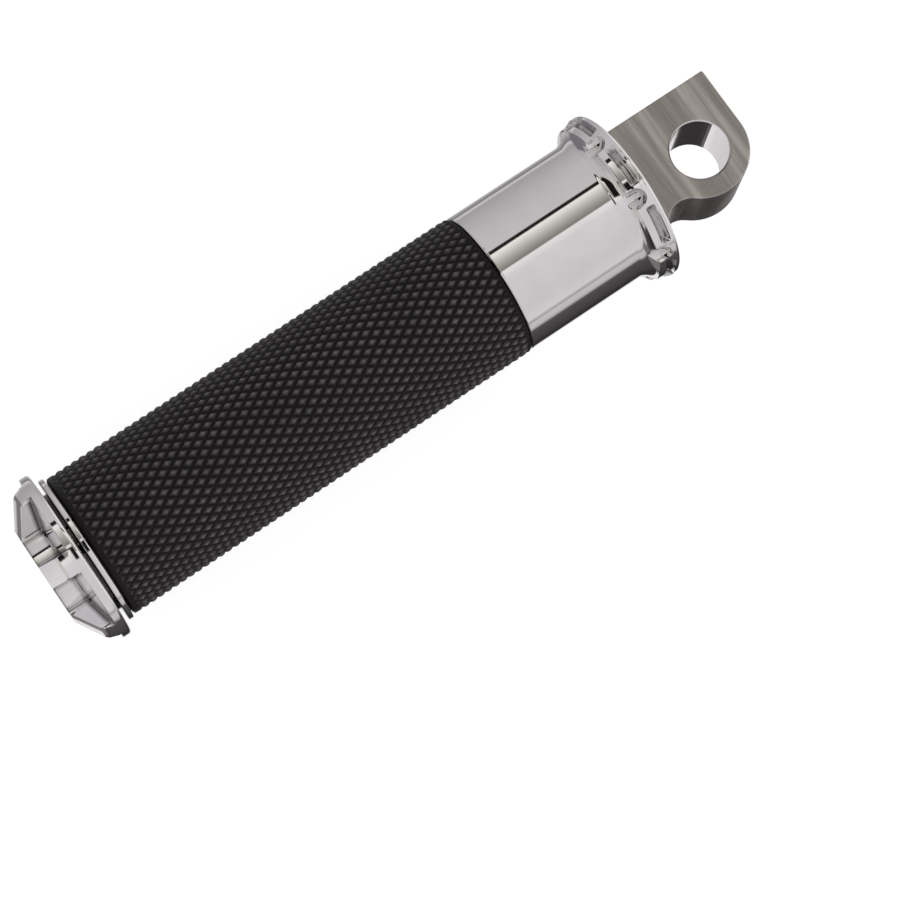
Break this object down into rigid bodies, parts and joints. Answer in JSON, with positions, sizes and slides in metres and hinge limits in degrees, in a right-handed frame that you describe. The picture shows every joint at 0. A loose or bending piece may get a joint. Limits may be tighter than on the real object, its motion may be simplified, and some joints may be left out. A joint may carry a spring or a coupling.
{
  "type": "motorcycle foot peg",
  "caption": "Round foot peg with a knurled black rubber sleeve, chromed flanged body and end cap, and a flat steel mounting tang with a cross hole for a clevis pin.",
  "frame": {"origin": "centre of the pin hole through the mount tang", "axes": "+X along the peg's axis from the outer end towards the tang's end, +Y towards the tang's flat side edge, +Z along the pin hole"},
  "size_m": [0.1734, 0.0392, 0.0392],
  "materials": {
    "brushed_steel": "brushed across the tang",
    "chrome": "polished chrome plate",
    "black_rubber": "moulded diamond knurl, semi-matt",
    "black_steel": "black oxide",
    "zinc_steel": "zinc plated"
  },
  "bodies": {
    "root": {"mount_tang": "brushed_steel", "peg_body": "chrome", "centre_bolt": "black_steel", "flat_washer": "zinc_steel", "lock_washer": "zinc_steel", "turn_pin": "zinc_steel", "grip_sleeve": "black_rubber", "retaining_ring": "chrome", "end_cap": "chrome"}
  },
  "joints": []
}
